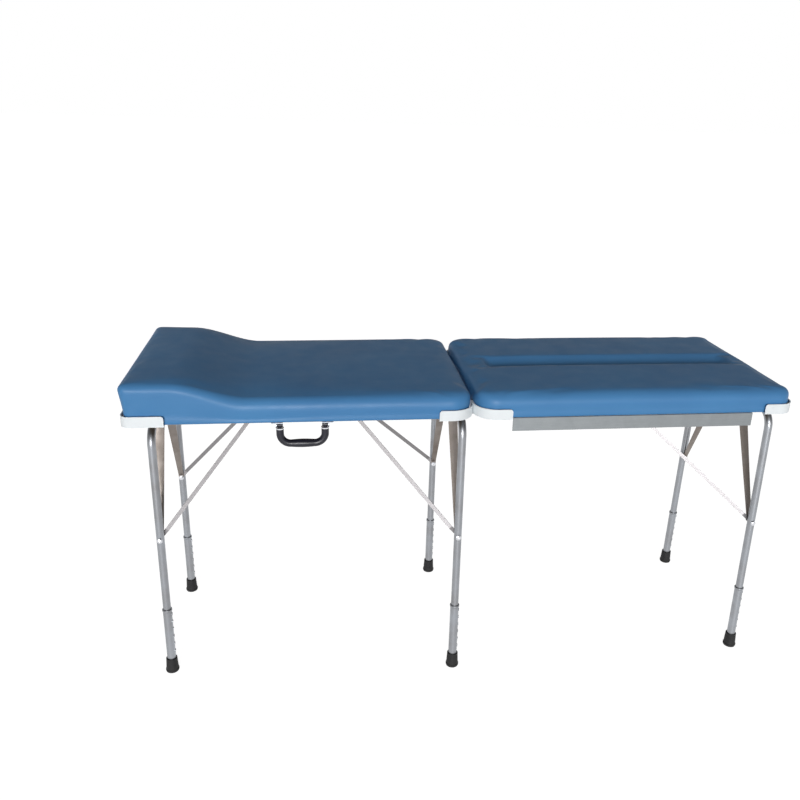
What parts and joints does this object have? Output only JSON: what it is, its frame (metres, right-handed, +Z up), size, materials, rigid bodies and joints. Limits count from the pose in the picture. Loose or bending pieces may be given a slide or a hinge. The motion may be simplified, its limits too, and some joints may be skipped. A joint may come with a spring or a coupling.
{
  "type": "portable treatment table",
  "caption": "Portable padded treatment table in two halves that fold face down, with a raised head end, folding leg frames, height adjustment and a carrying handle.",
  "frame": {"origin": "on the floor under the middle of the table, at the joint between the halves", "axes": "+X along the table towards the foot end, +Y across it away from the handle, +Z up"},
  "size_m": [1.85, 0.588, 0.9367],
  "materials": {
    "vinyl": "satin upholstery vinyl over foam",
    "plywood": "sanded plywood",
    "white_plastic": "moulded white plastic",
    "satin_tube": "satin anodised tube",
    "strap_steel": "dull plated strip",
    "brace_steel": "bright plated strip",
    "rail_aluminium": "mill finish extrusion",
    "zinc_plate": "zinc plated",
    "bright_fasteners": "bright plated",
    "handle_plastic": "moulded black plastic",
    "rubber": "matt black rubber"
  },
  "bodies": {
    "hinge_pins": {"hinge_pins": "bright_fasteners"},
    "left_half": {"left_deck": "plywood", "left_cushion": "vinyl", "left_outer_caps": "white_plastic", "left_inner_caps": "white_plastic", "left_saddles": "zinc_plate", "left_hinge_plates": "zinc_plate", "left_keeper": "zinc_plate", "mid_keeper": "zinc_plate", "handle_brackets": "zinc_plate", "left_screws": "bright_fasteners"},
    "right_half": {"right_deck": "plywood", "right_cushion": "vinyl", "right_outer_caps": "white_plastic", "right_inner_caps": "white_plastic", "near_rail": "rail_aluminium", "far_rail": "rail_aluminium", "right_saddles": "zinc_plate", "right_hinge_plates": "zinc_plate", "right_keeper": "zinc_plate", "right_screws": "bright_fasteners"},
    "handle": {"handle_grip": "handle_plastic", "handle_collars": "bright_fasteners"},
    "left_legs": {"left_leg_tube": "satin_tube", "left_leg_straps": "strap_steel", "left_leg_bolts": "bright_fasteners"},
    "left_brace_near": {"left_brace_near": "brace_steel"},
    "left_extension_near": {"left_sleeve_near": "satin_tube", "left_foot_near": "rubber"},
    "left_button_near": {"left_button_near": "bright_fasteners"},
    "left_brace_far": {"left_brace_far": "brace_steel"},
    "left_extension_far": {"left_sleeve_far": "satin_tube", "left_foot_far": "rubber"},
    "left_button_far": {"left_button_far": "bright_fasteners"},
    "mid_legs": {"mid_leg_tube": "satin_tube", "mid_leg_straps": "strap_steel", "mid_leg_bolts": "bright_fasteners"},
    "mid_brace_near": {"mid_brace_near": "brace_steel"},
    "mid_extension_near": {"mid_sleeve_near": "satin_tube", "mid_foot_near": "rubber"},
    "mid_button_near": {"mid_button_near": "bright_fasteners"},
    "mid_brace_far": {"mid_brace_far": "brace_steel"},
    "mid_extension_far": {"mid_sleeve_far": "satin_tube", "mid_foot_far": "rubber"},
    "mid_button_far": {"mid_button_far": "bright_fasteners"},
    "right_legs": {"right_leg_tube": "satin_tube", "right_leg_straps": "strap_steel", "right_leg_bolts": "bright_fasteners"},
    "right_brace_near": {"right_brace_near": "brace_steel"},
    "right_extension_near": {"right_sleeve_near": "satin_tube", "right_foot_near": "rubber"},
    "right_button_near": {"right_button_near": "bright_fasteners"},
    "right_brace_far": {"right_brace_far": "brace_steel"},
    "right_extension_far": {"right_sleeve_far": "satin_tube", "right_foot_far": "rubber"},
    "right_button_far": {"right_button_far": "bright_fasteners"}
  },
  "joints": [
    {"name": "right_half_fold", "type": "hinge", "parent": "hinge_pins", "child": "right_half", "pos_m": [0, 0, 0.766], "axis": [0, 1, 0], "range_deg": [0, 90]},
    {"name": "left_half_fold", "type": "hinge", "parent": "hinge_pins", "child": "left_half", "pos_m": [0, 0, 0.766], "axis": [0, -1, 0], "range_deg": [0, 90]},
    {"name": "handle_swing", "type": "hinge", "parent": "left_half", "child": "handle", "pos_m": [-0.464, -0.282, 0.815], "axis": [-1, 0, 0], "range_deg": [0, 90]},
    {"name": "left_legs_fold", "type": "hinge", "parent": "left_half", "child": "left_legs", "pos_m": [-0.87, 0, 0.773], "axis": [0, -1, 0], "range_deg": [0, 90]},
    {"name": "left_brace_near_fold", "type": "hinge", "parent": "left_legs", "child": "left_brace_near", "pos_m": [-0.87, -0.20509, 0.445], "axis": [0, 1, 0], "range_deg": [0, 140.01]},
    {"name": "left_leg_near_height", "type": "slide", "parent": "left_legs", "child": "left_extension_near", "axis": [0, 0.0155, 0.9999], "range_m": [-0.0508, 0.0762]},
    {"name": "left_button_near_press", "type": "slide", "parent": "left_legs", "child": "left_button_near", "axis": [1, 0, 0], "range_m": [0, 0.0032], "stiffness_N_per_m": 400, "springref_m": 0.0032},
    {"name": "left_brace_far_fold", "type": "hinge", "parent": "left_legs", "child": "left_brace_far", "pos_m": [-0.87, 0.20509, 0.445], "axis": [0, 1, 0], "range_deg": [0, 140.01]},
    {"name": "left_leg_far_height", "type": "slide", "parent": "left_legs", "child": "left_extension_far", "axis": [0, -0.0155, 0.9999], "range_m": [-0.0508, 0.0762]},
    {"name": "left_button_far_press", "type": "slide", "parent": "left_legs", "child": "left_button_far", "axis": [1, 0, 0], "range_m": [0, 0.0032], "stiffness_N_per_m": 400, "springref_m": 0.0032},
    {"name": "mid_legs_fold", "type": "hinge", "parent": "left_half", "child": "mid_legs", "pos_m": [-0.027, 0, 0.799], "axis": [0, 1, 0], "range_deg": [0, 90]},
    {"name": "mid_brace_near_fold", "type": "hinge", "parent": "mid_legs", "child": "mid_brace_near", "pos_m": [-0.027, -0.25542, 0.445], "axis": [0, -1, 0], "range_deg": [0, 136.98]},
    {"name": "mid_leg_near_height", "type": "slide", "parent": "mid_legs", "child": "mid_extension_near", "axis": [0, 0.0238, 0.9997], "range_m": [-0.0508, 0.0762]},
    {"name": "mid_button_near_press", "type": "slide", "parent": "mid_legs", "child": "mid_button_near", "axis": [1, 0, 0], "range_m": [0, 0.0032], "stiffness_N_per_m": 400, "springref_m": 0.0032},
    {"name": "mid_brace_far_fold", "type": "hinge", "parent": "mid_legs", "child": "mid_brace_far", "pos_m": [-0.027, 0.25542, 0.445], "axis": [0, -1, 0], "range_deg": [0, 136.98]},
    {"name": "mid_leg_far_height", "type": "slide", "parent": "mid_legs", "child": "mid_extension_far", "axis": [0, -0.0238, 0.9997], "range_m": [-0.0508, 0.0762]},
    {"name": "mid_button_far_press", "type": "slide", "parent": "mid_legs", "child": "mid_button_far", "axis": [1, 0, 0], "range_m": [0, 0.0032], "stiffness_N_per_m": 400, "springref_m": 0.0032},
    {"name": "right_legs_fold", "type": "hinge", "parent": "right_half", "child": "right_legs", "pos_m": [0.89, 0, 0.799], "axis": [0, 1, 0], "range_deg": [0, 90]},
    {"name": "right_brace_near_fold", "type": "hinge", "parent": "right_legs", "child": "right_brace_near", "pos_m": [0.89, -0.2413, 0.445], "axis": [0, -1, 0], "range_deg": [0, 131.63]},
    {"name": "right_leg_near_height", "type": "slide", "parent": "right_legs", "child": "right_extension_near", "axis": [0, 0.0263, 0.9997], "range_m": [-0.0508, 0.0762]},
    {"name": "right_button_near_press", "type": "slide", "parent": "right_legs", "child": "right_button_near", "axis": [1, 0, 0], "range_m": [0, 0.0032], "stiffness_N_per_m": 400, "springref_m": 0.0032},
    {"name": "right_brace_far_fold", "type": "hinge", "parent": "right_legs", "child": "right_brace_far", "pos_m": [0.89, 0.2413, 0.445], "axis": [0, -1, 0], "range_deg": [0, 131.63]},
    {"name": "right_leg_far_height", "type": "slide", "parent": "right_legs", "child": "right_extension_far", "axis": [0, -0.0263, 0.9997], "range_m": [-0.0508, 0.0762]},
    {"name": "right_button_far_press", "type": "slide", "parent": "right_legs", "child": "right_button_far", "axis": [1, 0, 0], "range_m": [0, 0.0032], "stiffness_N_per_m": 400, "springref_m": 0.0032}
  ],
  "couplings": [
    {"joint": "left_legs_fold", "follows": "right_half_fold", "ratio": 1},
    {"joint": "left_brace_near_fold", "follows": "right_half_fold", "ratio": 1.5551},
    {"joint": "left_brace_far_fold", "follows": "right_half_fold", "ratio": 1.5551},
    {"joint": "mid_legs_fold", "follows": "right_half_fold", "ratio": 1},
    {"joint": "mid_brace_near_fold", "follows": "right_half_fold", "ratio": 1.5214},
    {"joint": "mid_brace_far_fold", "follows": "right_half_fold", "ratio": 1.5214},
    {"joint": "right_legs_fold", "follows": "right_half_fold", "ratio": 1},
    {"joint": "right_brace_near_fold", "follows": "right_half_fold", "ratio": 1.462},
    {"joint": "right_brace_far_fold", "follows": "right_half_fold", "ratio": 1.462}
  ]
}
